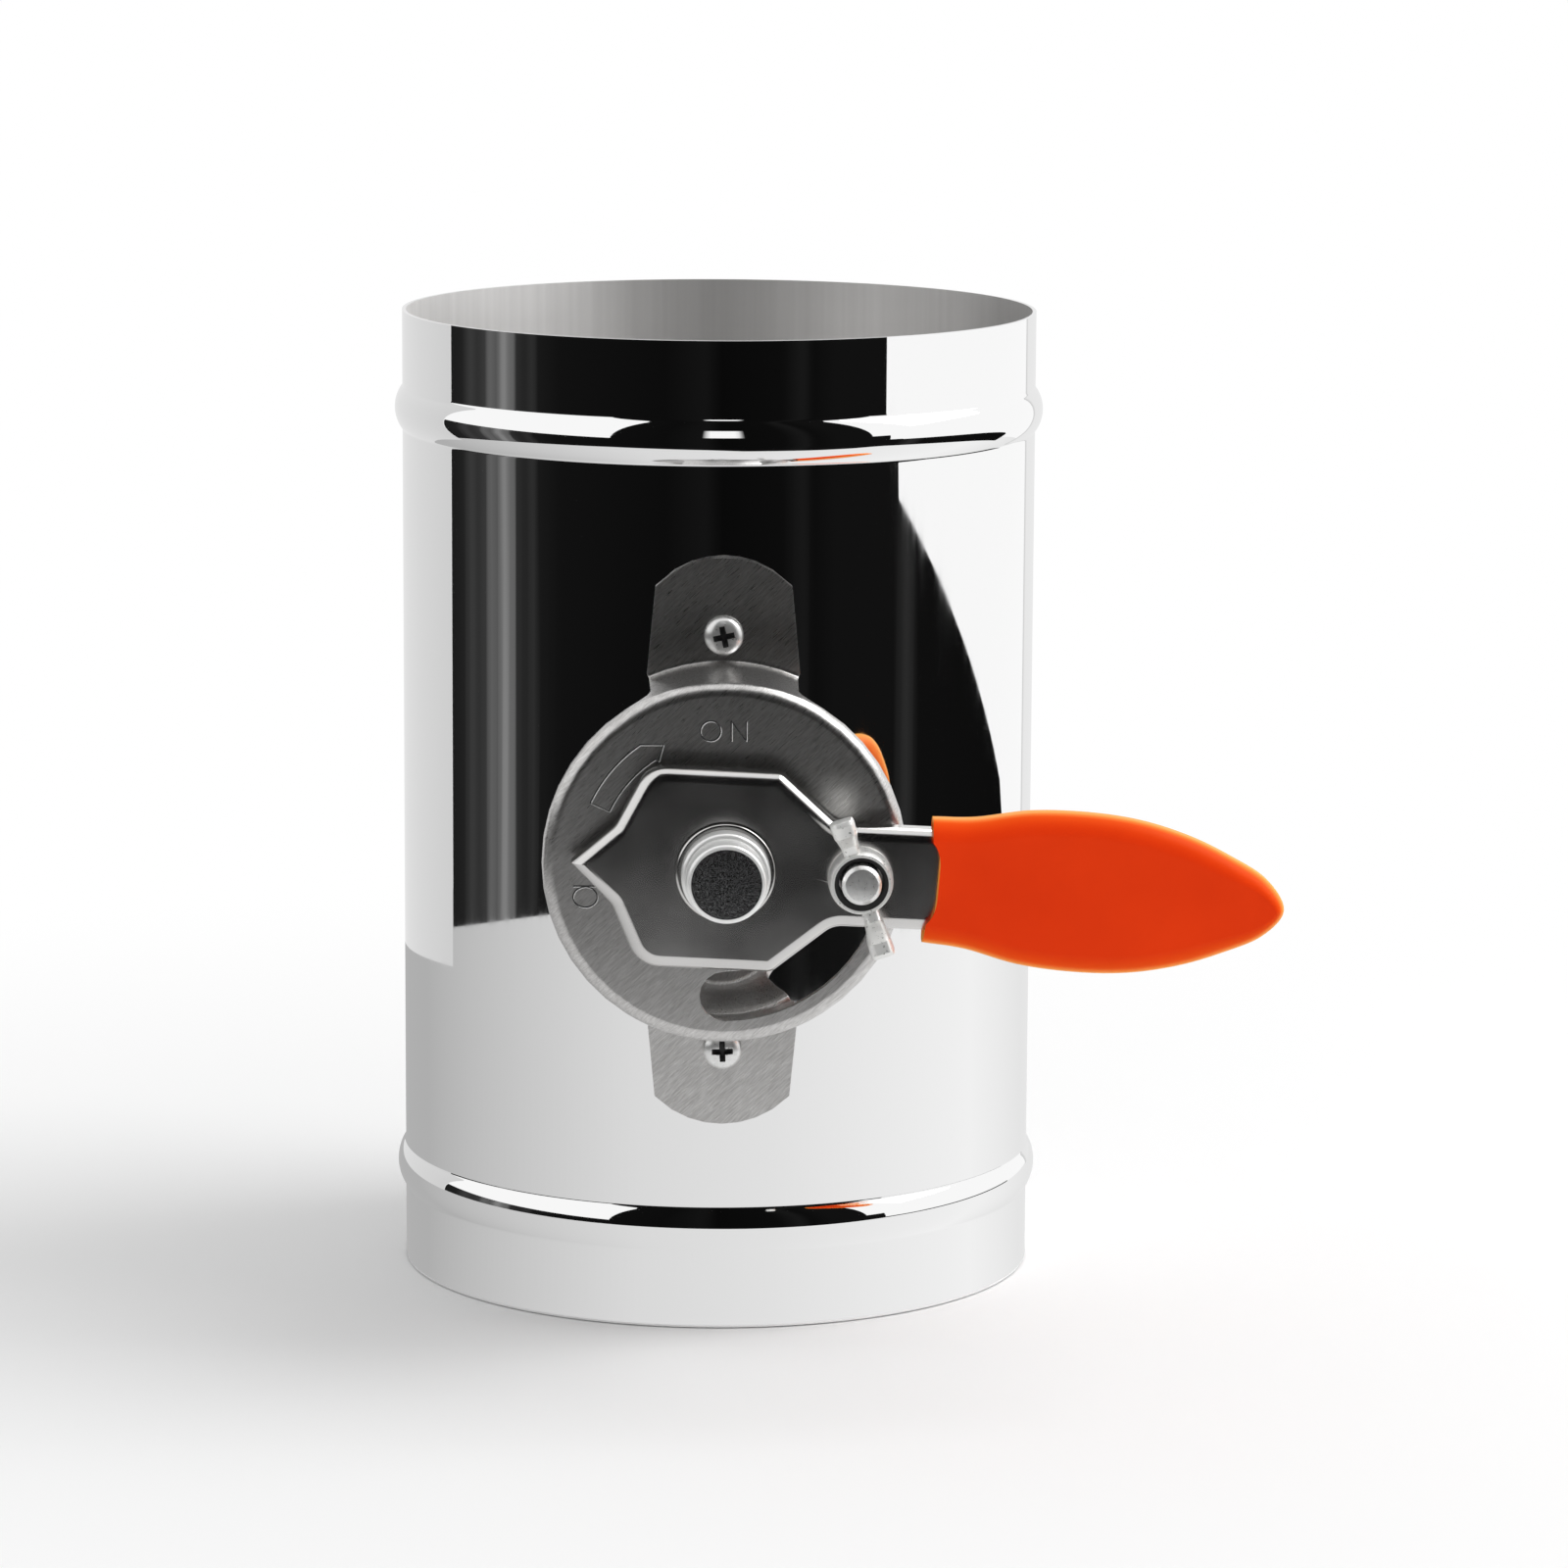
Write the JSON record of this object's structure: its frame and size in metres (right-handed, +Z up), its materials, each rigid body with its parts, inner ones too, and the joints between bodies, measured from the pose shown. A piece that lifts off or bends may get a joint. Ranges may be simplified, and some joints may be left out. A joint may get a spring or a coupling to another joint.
{
  "type": "air volume damper",
  "caption": "Round in-line air volume damper: a beaded duct with a turning blade, a slotted quadrant plate outside, and a gripped lever clamped by a wing nut.",
  "frame": {"origin": "middle of the underside of the whole part's bounding box, in the plane of the duct's lower rim", "axes": "+Z up along the duct's axis, -Y towards the lever and the quadrant plate, +X the way the lever points when the blade is shut"},
  "size_m": [0.1342, 0.1424, 0.1524],
  "materials": {
    "polished_stainless": "mirror-polished stainless sheet outside, dull inside",
    "brushed_stainless": "coarse straight brushing at 45 degrees",
    "pressed_stainless": "smooth satin sheet with bright rounded edges",
    "turned_steel": "turned, fine satin end face",
    "zinc_plate": "bright zinc plate",
    "cast_zinc": "plated casting with fine pits on the wing ends",
    "orange_pvc": "dipped soft plastic, satin gloss",
    "nylon": "natural moulded"
  },
  "bodies": {
    "duct": {"duct_tube": "polished_stainless", "quadrant_plate": "brushed_stainless", "plate_screw_top": "zinc_plate", "plate_screw_bottom": "zinc_plate", "front_bush": "nylon", "rear_bush": "nylon"},
    "lever": {"shaft": "turned_steel", "damper_blade": "brushed_stainless", "blade_screw_front": "zinc_plate", "blade_screw_rear": "zinc_plate", "blade_nut_front": "zinc_plate", "blade_nut_rear": "zinc_plate", "shaft_spacer": "nylon", "lever_arm": "pressed_stainless", "lever_grip": "orange_pvc", "shaft_washer": "turned_steel", "rear_washer": "zinc_plate", "rear_clip": "zinc_plate", "clamp_bolt": "zinc_plate", "clamp_washer": "zinc_plate"},
    "wing_nut": {"wing_nut": "cast_zinc"}
  },
  "joints": [
    {"name": "lever_turn", "type": "hinge", "parent": "duct", "child": "lever", "pos_m": [-0.01594, 0.0138, 0.0762], "axis": [0, 1, 0], "range_deg": [-2.8, 87.2]},
    {"name": "wing_nut_turn", "type": "hinge", "parent": "lever", "child": "wing_nut", "pos_m": [0.00404, -0.0615, 0.07522], "axis": [0, 1, 0], "range_deg": [-720, 0]}
  ]
}
